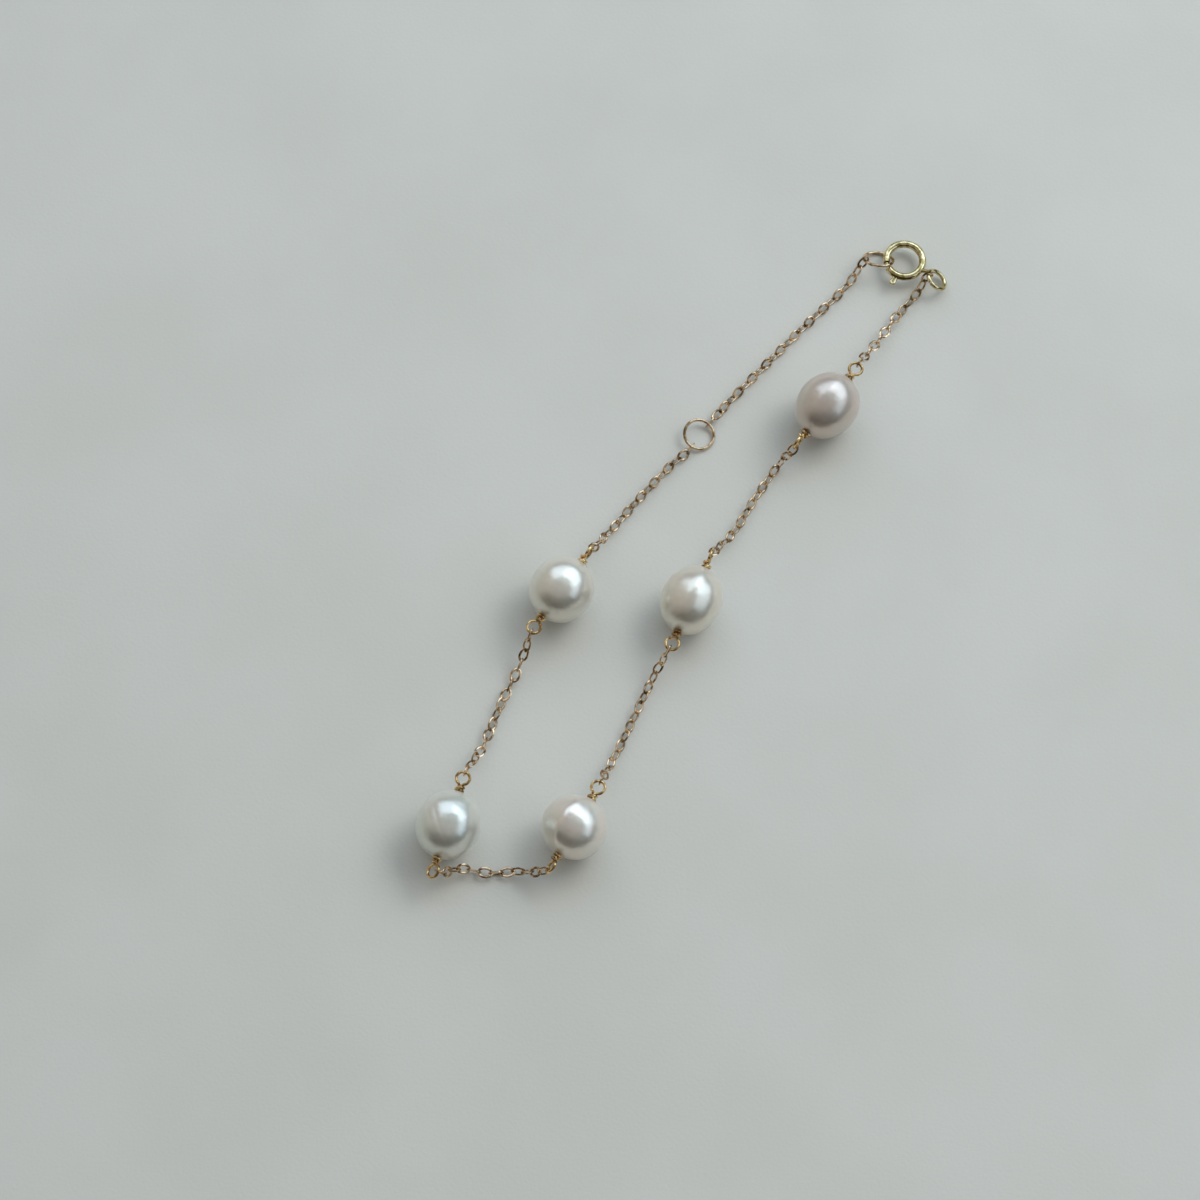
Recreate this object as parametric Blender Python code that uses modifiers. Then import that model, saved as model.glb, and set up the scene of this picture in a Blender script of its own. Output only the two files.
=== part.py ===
"""A pearl bracelet: five drilled freshwater pearls on wrapped wire eyes, joined by fine cable chain,
with an extension ring, an end ring and a spring ring clasp. It lies on a level surface at z = 0,
fastened, as a narrow loop. Metres, +Z up; the origin is the centre of its box, at the surface.
"""
import math

import bmesh
import bpy
from mathutils import Matrix, Vector

MM = 0.001

# Pearls: the width across the drilled axis, the length along it, and the drilled hole
PEARL_WIDTH = 7.1 * MM
PEARL_LENGTH = 7.7 * MM
PEARL_BORE = 0.8 * MM

# Wire through a pearl: its thickness, the round eye at each end and the wrapped collar under it
EYE_WIRE = 0.33 * MM
EYE_OUTER = 1.8 * MM
COLLAR_OUTER = 1.2 * MM
COLLAR_TURNS = 2
SEAT_GAP = 0.1 * MM

# Chain: oval links of round wire, each pressed a little into the next so that a stretch is one body
LINK_PITCH = 1.2 * MM
LINK_WIDTH = 1.2 * MM
LINK_WIRE = 0.18 * MM
LINK_PRESS = 0.04 * MM
HOOK_CLEARANCE = 0.1 * MM

# Plain rings of the extension
RING_OUTER = 3.75 * MM
RING_WIRE = 0.36 * MM
EXTENSION_RING_TILT = math.radians(14)
END_RING_TILT = math.radians(38)
END_RING_YAW = math.radians(-7)

# Spring ring clasp: a hollow tube bent to a ring, its bolt, its trigger and the tag soldered to it
CLASP_OUTER = 5.0 * MM
CLASP_TUBE = 0.84 * MM
CLASP_WALL = 0.11 * MM
BOLT_CLEARANCE = 0.1 * MM
GAP_START = math.radians(187)
GAP_END = math.radians(208)
BOLT_REACH = math.radians(7)
BOLT_TAIL = math.radians(24)
OPENING_ANGLE = math.radians(30)
TRIGGER_ANGLE = math.radians(242)
TRIGGER_LENGTH = 1.5 * MM
TRIGGER_WIDTH = 0.8 * MM
TRIGGER_WIRE = 0.26 * MM
TAG_OUTER = 2.9 * MM
TAG_WIRE = 0.5 * MM
TAG_CUT = 0.08 * MM
TAG_NECK = 0.45 * MM
FLOOR_GAP = 0.03 * MM

# Faces along a ring, a tube's turn and a link, round a wire, and round and along a pearl
RING_SIDES = 12
TUBE_SIDES = 16
LINK_SIDES = 10
WIRE_SIDES = 5
COLLAR_SIDES = 8
PEARL_SIDES = 12
PEARL_BANDS = 6

# Pearls in order along the string. Plan centre in mm, heading of the drilled axis in degrees, length and
# width as shares of the sizes above, how much the pearl narrows towards its upper eye, and the height and
# place of its lengthwise ridge, as a share of the radius and an angle in degrees round the axis from the top
PEARLS = (
    # x, y, heading, length, width, taper, ridge, ridge_at
    (-14.1, -5.7, 55.6, 0.98, 1.00, 0.02, 0.00, 0),
    (-26.2, -32.6, 73.6, 0.99, 0.99, 0.03, 0.02, 40),
    (-12.6, -32.9, 60.4, 0.91, 1.03, 0.02, 0.07, -75),
    (0.2, -6.9, 67.1, 1.03, 0.98, 0.01, 0.03, -100),
    (15.6, 16.3, 53.2, 1.04, 1.00, -0.03, 0.00, 0),
)

# Eyes at the lower and the upper end of each pearl: the turn of the eye's plane about the drilled axis, 0
# lying flat and 90 upright, and where on the eye the chain hooks in, in degrees from straight out
EYES = (
    # lower_roll, lower_hook, upper_roll, upper_hook
    (0, 9, 90, -30),
    (35, 95, 0, -4),
    (60, -50, 0, 8),
    (0, -9, 90, -30),
    (90, -30, 0, 8),
)

# Plan places in mm of the clasp and the rings, and the angles in degrees where the chains hook in
CLASP_AT = (25.1, 35.4)
END_RING_FROM_CLASP = (-3.0, 0.15)
TAG_FROM_CLASP = (3.6, -2.45)
TAG_NORMAL = (0.58, 0.20, 0.79)
EXTENSION_RING_AT = (1.3, 14.0)
END_RING_HOOK = 205
EXTENSION_RING_HOOKS = (49, 239)
TAG_HOOK = 178
TAG_CUT_AT = 222

# Route of the chains: the points in mm that each stretch passes between its two hooks, chosen by eye
CHAIN_ROUTES = (
    ((18.2, 32.2, 0.65), (11.8, 25.6, 0.65)),
    ((-1.9, 10.2, 0.68), (-5.4, 6.3, 0.68), (-8.6, 2.3, 1.0)),
    ((-18.8, -13.9, 1.0), (-20.9, -18.4, 0.68), (-22.6, -22.9, 0.95)),
    ((-24.8, -36.9, 1.3), (-21.9, -37.2, 0.65), (-18.6, -37.1, 0.9)),
    ((-8.5, -24.6, 0.95), (-6.2, -19.7, 0.7), (-3.9, -14.8, 1.1)),
    ((5.0, 2.0, 0.9), (7.5, 6.2, 0.7), (10.1, 10.0, 0.9)),
    ((21.4, 24.6, 1.7), (24.0, 28.5, 0.7), (26.4, 31.4, 0.8)),
)

UP = Vector((0, 0, 1))
CLASP_MEAN = (CLASP_OUTER - CLASP_TUBE) / 2
RING_MEAN = (RING_OUTER - RING_WIRE) / 2
EYE_MEAN = (EYE_OUTER - EYE_WIRE) / 2
TAG_MEAN = (TAG_OUTER - TAG_WIRE) / 2
COLLAR_HEIGHT = COLLAR_TURNS * EYE_WIRE
CLASP_HEIGHT = RING_MEAN * math.sin(END_RING_TILT) + RING_WIRE / 2 + FLOOR_GAP
REST_HEIGHT = LINK_WIDTH / 2 + FLOOR_GAP


def clear_scene():
    """Empty the scene and make the bracelet's collection."""
    for obj in list(bpy.data.objects):
        bpy.data.objects.remove(obj)
    parts = bpy.data.collections.new("pearl_bracelet")
    bpy.context.scene.collection.children.link(parts)
    return parts


def finish(name, colour, roughness, metallic):
    """A plain Principled material."""
    material = bpy.data.materials.new(name)
    material.use_nodes = True
    shader = material.node_tree.nodes["Principled BSDF"]
    shader.inputs["Base Color"].default_value = (*colour, 1)
    shader.inputs["Roughness"].default_value = roughness
    shader.inputs["Metallic"].default_value = metallic
    return material


def frame_matrix(x_axis, y_axis, z_axis, place):
    """The matrix with these three directions as its axes and this place as its origin."""
    axes = Matrix((x_axis, y_axis, z_axis)).transposed()
    return Matrix.Translation(place) @ axes.to_4x4()


def solid_of(obj):
    """A mesh object of obj as its modifiers leave it, with a curve's caps welded; obj is removed."""
    bpy.context.view_layer.update()
    evaluated = obj.evaluated_get(bpy.context.evaluated_depsgraph_get())
    mesh = bpy.data.meshes.new_from_object(evaluated)
    shape = bmesh.new()
    shape.from_mesh(mesh)
    bmesh.ops.remove_doubles(shape, verts=shape.verts, dist=0.001 * MM)
    bmesh.ops.recalc_face_normals(shape, faces=shape.faces)
    shape.to_mesh(mesh)
    shape.free()
    solid = bpy.data.objects.new(obj.name, mesh)
    solid.matrix_world = obj.matrix_world.copy()
    bpy.context.scene.collection.objects.link(solid)
    bpy.data.objects.remove(obj)
    return solid


def combine(base, operation, others):
    """Union with the other objects, or their difference, as one mesh; the others are removed."""
    for other in others:
        boolean = base.modifiers.new(operation.lower(), "BOOLEAN")
        boolean.operation = operation
        boolean.object = other
    result = solid_of(base)
    for other in others:
        bpy.data.objects.remove(other)
    return result


def place_part(parts, obj, name, material):
    """Name a finished solid, give it its material and move it to the bracelet's collection."""
    obj.name = name
    obj.data.name = name
    obj.data.materials.clear()
    obj.data.materials.append(material)
    obj.data.shade_smooth()
    obj.data.set_sharp_from_angle(angle=math.radians(50))
    for holder in list(obj.users_collection):
        holder.objects.unlink(obj)
    parts.objects.link(obj)
    return obj


def oval_ring(length, width, wire, sides, wire_sides):
    """A closed wire ring lying in XY, with a flat at each end, stretched along X to an oval."""
    bpy.ops.mesh.primitive_torus_add(
        major_radius=(width - wire) / 2, minor_radius=wire / 2, major_segments=sides, minor_segments=wire_sides
    )
    ring = bpy.context.active_object
    ring.data.transform(Matrix.Rotation(math.pi / sides, 4, "Z"))
    for vertex in ring.data.vertices:
        if abs(vertex.co.x) > wire / 100:
            vertex.co.x += math.copysign((length - width) / 2, vertex.co.x)
    return ring


def arc_wire(radius, wire, start, end, sides_per_turn, bevel_resolution):
    """A round wire bent to an arc about Z in the XY plane, with flat ends."""
    steps = math.ceil((end - start) / math.tau * sides_per_turn)
    curve = bpy.data.curves.new("arc", "CURVE")
    curve.dimensions = "3D"
    curve.bevel_depth = wire / 2
    curve.bevel_resolution = bevel_resolution
    curve.use_fill_caps = True
    spline = curve.splines.new("POLY")
    spline.points.add(steps)
    for step, point in enumerate(spline.points):
        angle = start + (end - start) * step / steps
        point.co = (radius * math.cos(angle), radius * math.sin(angle), 0, 1)
    obj = bpy.data.objects.new("arc", curve)
    bpy.context.scene.collection.objects.link(obj)
    return solid_of(obj)


def rod(radius, length, sides, centre_z=0.0):
    """A cylinder along Z."""
    bpy.ops.mesh.primitive_cylinder_add(vertices=sides, radius=radius, depth=length, location=(0, 0, centre_z))
    cylinder = bpy.context.active_object
    cylinder.data.transform(cylinder.matrix_world)
    cylinder.matrix_world = Matrix.Identity(4)
    return cylinder


# Places of the pearls, eyes and rings

def pearl_frame(pearl):
    """The frame of a pearl: +Z along the drilled axis, +X up, at the pearl's centre."""
    x, y, heading, _, width, *_ = pearl
    axis = Vector((math.cos(math.radians(heading)), math.sin(math.radians(heading)), 0))
    height = width * PEARL_WIDTH / 2
    return frame_matrix(UP, axis.cross(UP), axis, Vector((x * MM, y * MM, height)))


def eye_frame(pearl, sign, roll):
    """An eye in its pearl's frame: +X straight out, +Y across the eye, +Z normal to the eye's plane."""
    out = Vector((0, 0, sign))
    across = Vector((math.sin(roll), -sign * math.cos(roll), 0))
    reach = pearl[3] * PEARL_LENGTH / 2 + SEAT_GAP + COLLAR_HEIGHT + EYE_WIRE / 4 + EYE_MEAN
    return frame_matrix(out, across, out.cross(across), out * reach)


def ring_frame(place, normal, heading):
    """A ring's frame: +Z along its normal, and +X as near the plan heading as its plane allows."""
    normal = normal.normalized()
    ahead = Vector((math.cos(heading), math.sin(heading), 0))
    x_axis = (ahead - normal * ahead.dot(normal)).normalized()
    return frame_matrix(x_axis, normal.cross(x_axis), normal, place)


def clasp_frame():
    """The clasp's frame: +Z along its axis, which is also the lever's."""
    return Matrix.Translation((CLASP_AT[0] * MM, CLASP_AT[1] * MM, CLASP_HEIGHT))


def end_ring_frame():
    """The end ring round the clasp's tube at the gap, its near edge raised over the bolt."""
    place = clasp_frame() @ Vector((END_RING_FROM_CLASP[0] * MM, END_RING_FROM_CLASP[1] * MM, 0))
    normal = Matrix.Rotation(END_RING_YAW, 3, "Z") @ Vector(
        (0, math.sin(END_RING_TILT), math.cos(END_RING_TILT))
    )
    return ring_frame(place, normal, END_RING_YAW)


def extension_ring_frame():
    """The extension ring, held up by its two chains and leaning on one edge."""
    place = Vector((EXTENSION_RING_AT[0] * MM, EXTENSION_RING_AT[1] * MM, REST_HEIGHT))
    along = math.radians(sum(EXTENSION_RING_HOOKS) / 2 - 90)
    lean = Matrix.Rotation(EXTENSION_RING_TILT, 3, (math.cos(along), math.sin(along), 0))
    return ring_frame(place, lean @ UP, 0)


def tag_frame():
    """The tag ring beside the clasp's tube."""
    place = clasp_frame() @ Vector((TAG_FROM_CLASP[0] * MM, TAG_FROM_CLASP[1] * MM, 0))
    return ring_frame(place, Vector(TAG_NORMAL), 0)


def hook_point(frame, radius, angle, wire):
    """Where a chain hooks into a ring: the wire's centre, its direction there, and its thickness."""
    centre = frame @ Vector((radius * math.cos(angle), radius * math.sin(angle), 0))
    along = frame.to_3x3() @ Vector((-math.sin(angle), math.cos(angle), 0))
    return centre, along.normalized(), wire


def pearl_hook(index, sign):
    """The hook of a chain on the lower or upper eye of a pearl."""
    lower_roll, lower_hook, upper_roll, upper_hook = (math.radians(angle) for angle in EYES[index])
    roll, hook = (upper_roll, upper_hook) if sign > 0 else (lower_roll, lower_hook)
    frame = pearl_frame(PEARLS[index]) @ eye_frame(PEARLS[index], sign, roll)
    return hook_point(frame, EYE_MEAN, hook, EYE_WIRE)


def chain_hooks():
    """The two hooks of each stretch of chain, in order along the bracelet."""
    extension = extension_ring_frame()
    first, second = (
        hook_point(extension, RING_MEAN, math.radians(angle), RING_WIRE) for angle in EXTENSION_RING_HOOKS
    )
    end = hook_point(end_ring_frame(), RING_MEAN, math.radians(END_RING_HOOK), RING_WIRE)
    tag = hook_point(tag_frame(), TAG_MEAN, math.radians(TAG_HOOK), TAG_WIRE)
    return (
        (end, first),
        (second, pearl_hook(0, 1)),
        (pearl_hook(0, -1), pearl_hook(1, 1)),
        (pearl_hook(1, -1), pearl_hook(2, -1)),
        (pearl_hook(2, 1), pearl_hook(3, -1)),
        (pearl_hook(3, 1), pearl_hook(4, -1)),
        (pearl_hook(4, 1), tag),
    )


# Pearls and their wires

def pearl_radius(share, taper):
    """The radius of a pearl at a share from -1 to 1 along its axis, as a share of half its width."""
    return math.sqrt(max(0.0, 1 - share * share)) * (1 - taper * share)


def make_pearl(pearl):
    """A turned pearl with a drilled hole, raised to a soft ridge along one side."""
    _, _, _, length, width, taper, ridge, ridge_at = pearl
    half_length = length * PEARL_LENGTH / 2
    half_width = width * PEARL_WIDTH / 2
    bore_share = math.sqrt(1 - (PEARL_BORE / 2 / half_width) ** 2)
    top = math.asin(bore_share)
    outline = []
    for band in range(PEARL_BANDS + 1):
        share = math.sin(top - 2 * top * band / PEARL_BANDS)
        outline.append((half_width * pearl_radius(share, taper), half_length * share))
    profile = bpy.data.meshes.new("pearl")
    corners = [(radius, 0, height) for radius, height in outline]
    edges = [(corner, (corner + 1) % len(corners)) for corner in range(len(corners))]
    profile.from_pydata(corners, edges, [])
    obj = bpy.data.objects.new("pearl", profile)
    bpy.context.scene.collection.objects.link(obj)
    screw = obj.modifiers.new("turn", "SCREW")
    screw.steps = screw.render_steps = PEARL_SIDES
    screw.use_merge_vertices = True
    screw.merge_threshold = 0.001 * MM
    solid = solid_of(obj)
    for vertex in solid.data.vertices:
        radius = math.hypot(vertex.co.x, vertex.co.y)
        turn = math.atan2(vertex.co.y, vertex.co.x) - math.radians(ridge_at)
        swell = 1 + ridge * max(0.0, math.cos(turn)) ** 4 * radius / half_width
        vertex.co.x *= swell
        vertex.co.y *= swell
    solid.matrix_world = pearl_frame(pearl)
    return solid


def make_pearl_wire(pearl, eyes):
    """The wire of a pearl: a straight stem, and a wrapped collar and a round eye at each end."""
    half_length = pearl[3] * PEARL_LENGTH / 2
    stem_length = 2 * (half_length + SEAT_GAP + COLLAR_HEIGHT)
    stem = rod(EYE_WIRE / 2, stem_length, WIRE_SIDES + 1)
    pieces = []
    for sign, roll in ((-1, eyes[0]), (1, eyes[2])):
        collar_at = sign * (half_length + SEAT_GAP + COLLAR_HEIGHT / 2)
        pieces.append(rod(COLLAR_OUTER / 2, COLLAR_HEIGHT, COLLAR_SIDES, collar_at))
        eye = oval_ring(EYE_OUTER, EYE_OUTER, EYE_WIRE, LINK_SIDES, WIRE_SIDES)
        eye.data.transform(eye_frame(pearl, sign, math.radians(roll)))
        pieces.append(eye)
    wire = combine(stem, "UNION", pieces)
    wire.matrix_world = pearl_frame(pearl)
    return wire


# Chains

def smooth_route(points, start_way, end_way, steps_per_span=24):
    """A smooth line through the points, leaving and arriving in the given directions."""
    ways = [start_way * (points[1] - points[0]).length]
    for before, after in zip(points, points[2:]):
        ways.append((after - before) / 2)
    ways.append(end_way * (points[-1] - points[-2]).length)
    line = [points[0]]
    for index in range(len(points) - 1):
        start, end = points[index], points[index + 1]
        for step in range(1, steps_per_span + 1):
            t = step / steps_per_span
            line.append(
                start * (2 * t**3 - 3 * t**2 + 1) + ways[index] * (t**3 - 2 * t**2 + t)
                + end * (3 * t**2 - 2 * t**3) + ways[index + 1] * (t**3 - t**2)
            )
    return line


def square_to(way, wire_along):
    """The part of a direction that is square to a wire, so that a link can hang on it."""
    return (way - wire_along * way.dot(wire_along)).normalized()


def chain_line(hooks, via):
    """The line that the links of a stretch follow, from the wire of one hook to that of the other."""
    (start, start_wire, _), (end, end_wire, _) = hooks
    points = [start] + [Vector(point) * MM for point in via] + [end]
    start_way = square_to(points[1] - start, start_wire)
    end_way = square_to(end - points[-2], end_wire)
    return smooth_route(points, start_way, end_way)


def point_at(line, distance):
    """The point and the direction at a distance along a line."""
    for start, end in zip(line, line[1:]):
        span = (end - start).length
        if distance <= span or end is line[-1]:
            return start + (end - start) * (distance / span), (end - start).normalized()
        distance -= span


def roll_of(way, normal):
    """How far a link's normal is turned about its length, 0 lying flat."""
    level = square_to(UP, way)
    return math.atan2(normal.dot(way.cross(level)), normal.dot(level))


def link_places(hooks, via):
    """The pitch of a stretch and the frame of each of its links, every second one turned a quarter."""
    line = chain_line(hooks, via)
    length = sum((end - start).length for start, end in zip(line, line[1:]))
    start_wire, end_wire = hooks[0][2], hooks[1][2]
    whole = length + LINK_PRESS + (start_wire + end_wire) / 2 + 2 * HOOK_CLEARANCE
    count = round(whole / LINK_PITCH)
    pitch = whole / count
    first = pitch / 2 - LINK_PRESS / 2 - start_wire / 2 - HOOK_CLEARANCE
    spots = [point_at(line, first + index * pitch) for index in range(count)]
    start_roll = roll_of(spots[0][1], hooks[0][1])
    end_roll = roll_of(spots[-1][1], hooks[1][1])
    twist = math.remainder(end_roll - start_roll - (count - 1) * math.pi / 2, math.pi)
    frames = []
    for index, (place, way) in enumerate(spots):
        roll = start_roll + index * math.pi / 2 + twist * index / (count - 1)
        level = square_to(UP, way)
        normal = level * math.cos(roll) + way.cross(level) * math.sin(roll)
        frames.append(frame_matrix(way, normal.cross(way), normal, place))
    return pitch, frames


def make_chain(hooks, via):
    """A stretch of cable chain, fused where each link bears on the next."""
    pitch, frames = link_places(hooks, via)
    link = oval_ring(pitch + 2 * LINK_WIRE - LINK_PRESS, LINK_WIDTH, LINK_WIRE, LINK_SIDES, WIRE_SIDES)
    halves = []
    for offset in (0, 1):
        shape = bmesh.new()
        for frame in frames[offset::2]:
            one = link.data.copy()
            one.transform(frame)
            shape.from_mesh(one)
            bpy.data.meshes.remove(one)
        mesh = bpy.data.meshes.new("chain")
        shape.to_mesh(mesh)
        shape.free()
        half = bpy.data.objects.new("chain", mesh)
        bpy.context.scene.collection.objects.link(half)
        halves.append(half)
    bpy.data.objects.remove(link)
    return combine(halves[0], "UNION", halves[1:])


# Rings and clasp

def make_ring(frame):
    """A plain soldered ring."""
    ring = oval_ring(RING_OUTER, RING_OUTER, RING_WIRE, RING_SIDES, WIRE_SIDES + 1)
    ring.matrix_world = frame
    return ring


def make_tag():
    """The open tag ring with the short neck that is soldered to the clasp's tube, in the clasp's frame."""
    to_clasp = clasp_frame().inverted() @ tag_frame()
    tag = oval_ring(TAG_OUTER, TAG_OUTER, TAG_WIRE, RING_SIDES, WIRE_SIDES + 1)
    tag.data.transform(to_clasp)
    bpy.ops.mesh.primitive_cube_add(size=1)
    cut = bpy.context.active_object
    cut.data.transform(Matrix.Diagonal((2 * TAG_WIRE, TAG_CUT, 2 * TAG_WIRE, 1)))
    cut.data.transform(Matrix.Translation((TAG_MEAN, 0, 0)))
    cut.data.transform(to_clasp @ Matrix.Rotation(math.radians(TAG_CUT_AT), 4, "Z"))
    tag = combine(tag, "DIFFERENCE", [cut])
    centre = to_clasp.translation
    tube_end = Vector((centre.x, centre.y, 0)).normalized() * CLASP_MEAN
    inward = to_clasp.inverted() @ tube_end
    ring_end = to_clasp @ (Vector((inward.x, inward.y, 0)).normalized() * TAG_MEAN)
    neck = rod(TAG_NECK / 2, (ring_end - tube_end).length, WIRE_SIDES + 1)
    turn = UP.rotation_difference(ring_end - tube_end).to_matrix().to_4x4()
    neck.data.transform(Matrix.Translation((ring_end + tube_end) / 2) @ turn)
    return combine(tag, "UNION", [neck])


def make_clasp_body():
    """The hollow tube ring, open at its gap, slotted on its outer side for the trigger, with its tag."""
    tube_end = GAP_START + math.tau
    tube = arc_wire(CLASP_MEAN, CLASP_TUBE, GAP_END, tube_end, TUBE_SIDES, 2)
    past = math.radians(3)
    bore = arc_wire(CLASP_MEAN, CLASP_TUBE - 2 * CLASP_WALL, GAP_END - past, tube_end + past, TUBE_SIDES, 1)
    slot_width = TRIGGER_WIRE + 2 * BOLT_CLEARANCE
    trigger_half = (TRIGGER_WIDTH / 2 + BOLT_CLEARANCE) / CLASP_MEAN
    slot = arc_wire(
        CLASP_MEAN + CLASP_TUBE / 2 - CLASP_WALL, slot_width, TRIGGER_ANGLE - trigger_half,
        TRIGGER_ANGLE + OPENING_ANGLE + trigger_half, 2 * TUBE_SIDES, 1,
    )
    tag = make_tag()
    body = combine(tube, "UNION", [tag])
    body = combine(body, "DIFFERENCE", [bore, slot])
    body.matrix_world = clasp_frame()
    return body


def make_clasp_lever():
    """The curved bolt that closes the gap, and the wire trigger that slides it back, on the clasp's axis."""
    bolt_wire = CLASP_TUBE - 2 * CLASP_WALL - 2 * BOLT_CLEARANCE
    tail = TRIGGER_ANGLE + BOLT_TAIL
    bolt = arc_wire(CLASP_MEAN, bolt_wire, GAP_START - BOLT_REACH, tail, 2 * TUBE_SIDES, 1)
    trigger = oval_ring(TRIGGER_LENGTH, TRIGGER_WIDTH, TRIGGER_WIRE, LINK_SIDES, WIRE_SIDES)
    trigger.data.transform(Matrix.Translation((CLASP_MEAN + TRIGGER_LENGTH / 2 - TRIGGER_WIRE / 2, 0, 0)))
    trigger.data.transform(Matrix.Rotation(TRIGGER_ANGLE, 4, "Z"))
    lever = combine(bolt, "UNION", [trigger])
    lever.matrix_world = clasp_frame()
    return lever


def main():
    parts = clear_scene()
    nacre = finish("nacre", (0.80, 0.77, 0.71), 0.25, 0.0)
    pearl_gold = finish("pearl_wire_gold", (0.85, 0.58, 0.26), 0.22, 1.0)
    chain_gold = finish("chain_gold", (0.80, 0.60, 0.42), 0.28, 1.0)
    clasp_gold = finish("clasp_gold", (0.83, 0.73, 0.44), 0.2, 1.0)
    for index, (pearl, eyes) in enumerate(zip(PEARLS, EYES), start=1):
        place_part(parts, make_pearl(pearl), f"pearl_{index}", nacre)
        place_part(parts, make_pearl_wire(pearl, eyes), f"pearl_wire_{index}", pearl_gold)
    for index, (hooks, via) in enumerate(zip(chain_hooks(), CHAIN_ROUTES), start=1):
        place_part(parts, make_chain(hooks, via), f"chain_{index}", chain_gold)
    place_part(parts, make_ring(extension_ring_frame()), "extension_ring", chain_gold)
    place_part(parts, make_ring(end_ring_frame()), "end_ring", chain_gold)
    place_part(parts, make_clasp_body(), "clasp_body", clasp_gold)
    place_part(parts, make_clasp_lever(), "clasp_lever", clasp_gold)


main()
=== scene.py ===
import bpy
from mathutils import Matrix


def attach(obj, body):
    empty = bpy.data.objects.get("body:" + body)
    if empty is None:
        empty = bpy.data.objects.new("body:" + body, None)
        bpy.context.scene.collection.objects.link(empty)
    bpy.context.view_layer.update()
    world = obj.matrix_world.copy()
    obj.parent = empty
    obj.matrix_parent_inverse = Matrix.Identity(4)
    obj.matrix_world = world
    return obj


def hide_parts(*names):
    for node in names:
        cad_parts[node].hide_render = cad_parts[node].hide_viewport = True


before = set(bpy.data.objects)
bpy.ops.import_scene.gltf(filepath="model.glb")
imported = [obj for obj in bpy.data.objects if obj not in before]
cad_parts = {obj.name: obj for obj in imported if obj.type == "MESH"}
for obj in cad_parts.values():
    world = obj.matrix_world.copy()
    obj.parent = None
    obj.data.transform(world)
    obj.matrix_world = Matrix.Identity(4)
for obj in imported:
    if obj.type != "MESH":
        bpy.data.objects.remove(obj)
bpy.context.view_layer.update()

import math

import bmesh
import bpy
from mathutils import Matrix, Vector, noise

MM = 0.001
UP = Vector((0, 0, 1))

# The floor, the light and the camera. The bracelet lies on a pale matt floor, lit by a broad cool window behind
# it to its right, a fainter one on either side of that, and a warmer light that shows in no reflection. The
# dim room in front shows dark low on each pearl.


def add_node(tree, kind, inputs=(), **settings):
    """A new node with these settings; each input is set to a value or joined to another node's output."""
    node = tree.nodes.new(kind)
    for name, value in settings.items():
        setattr(node, name, value)
    for name, value in dict(inputs).items():
        if isinstance(value, bpy.types.NodeSocket):
            tree.links.new(value, node.inputs[name])
        else:
            node.inputs[name].default_value = value
    return node


def new_material(name):
    """An empty material, with its tree, its Principled shader and the Object coordinates in metres."""
    material = bpy.data.materials.new(name)
    material.use_nodes = True
    tree = material.node_tree
    shader = tree.nodes["Principled BSDF"]
    place = add_node(tree, "ShaderNodeTexCoord").outputs["Object"]
    return material, tree, shader, place


def blend_colours(tree, factor, first, second):
    """The output of a node that blends two colours, each a value or an output."""
    mix = add_node(tree, "ShaderNodeMix", data_type="RGBA", clamp_factor=True)
    for socket, value in ((mix.inputs[0], factor), (mix.inputs[6], first), (mix.inputs[7], second)):
        if isinstance(value, bpy.types.NodeSocket):
            tree.links.new(value, socket)
        else:
            socket.default_value = (*value, 1) if socket.type == "RGBA" else value
    return mix.outputs[2]


def spread(tree, value, low, high, to_low=0.0, to_high=1.0):
    """The output of a node that stretches the part of a pattern from low to high over a new range."""
    return add_node(
        tree, "ShaderNodeMapRange",
        {"Value": value, "From Min": low, "From Max": high, "To Min": to_low, "To Max": to_high},
        interpolation_type="SMOOTHSTEP",
    ).outputs["Result"]


floor_finish, tree, shader, place = new_material("pale_floor")
cloudy = add_node(tree, "ShaderNodeTexNoise", {"Vector": place, "Scale": 40, "Detail": 4}).outputs["Fac"]
grain = add_node(tree, "ShaderNodeTexNoise", {"Vector": place, "Scale": 2600, "Detail": 3}).outputs["Fac"]
floor_colour = blend_colours(tree, spread(tree, cloudy, 0.3, 0.7), (0.685, 0.67, 0.615), (0.72, 0.705, 0.655))
tree.links.new(floor_colour, shader.inputs["Base Color"])
bump = add_node(tree, "ShaderNodeBump", {"Height": grain, "Strength": 0.35, "Distance": 0.00006})
tree.links.new(bump.outputs["Normal"], shader.inputs["Normal"])
shader.inputs["Roughness"].default_value = 0.85
shader.inputs["Specular IOR Level"].default_value = 0.2

FLOOR_HALF = 0.9
floor_mesh = bpy.data.meshes.new("floor")
floor_shape = bmesh.new()
bmesh.ops.create_grid(floor_shape, x_segments=2, y_segments=2, size=FLOOR_HALF)
floor_shape.to_mesh(floor_mesh)
floor_shape.free()
floor_mesh.materials.append(floor_finish)
floor = bpy.data.objects.new("floor", floor_mesh)
bpy.context.scene.collection.objects.link(floor)

WINDOW_DISTANCE = 0.9


def add_window(name, azimuth, elevation, width, height, radiance, colour, seen=True):
    """A soft area light that faces the bracelet, at an azimuth from +Y towards +X."""
    light = bpy.data.lights.new(name, "AREA")
    light.shape = "RECTANGLE"
    light.size, light.size_y = width, height
    light.energy, light.color = radiance * math.pi * width * height, colour
    lamp = bpy.data.objects.new(name, light)
    turn, rise = math.radians(azimuth), math.radians(elevation)
    way = Vector((math.sin(turn) * math.cos(rise), math.cos(turn) * math.cos(rise), math.sin(rise)))
    lamp.location = way * WINDOW_DISTANCE
    lamp.rotation_euler = way.to_track_quat("Z", "Y").to_euler()
    lamp.visible_camera = False
    lamp.visible_glossy = seen
    bpy.context.scene.collection.objects.link(lamp)


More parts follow.
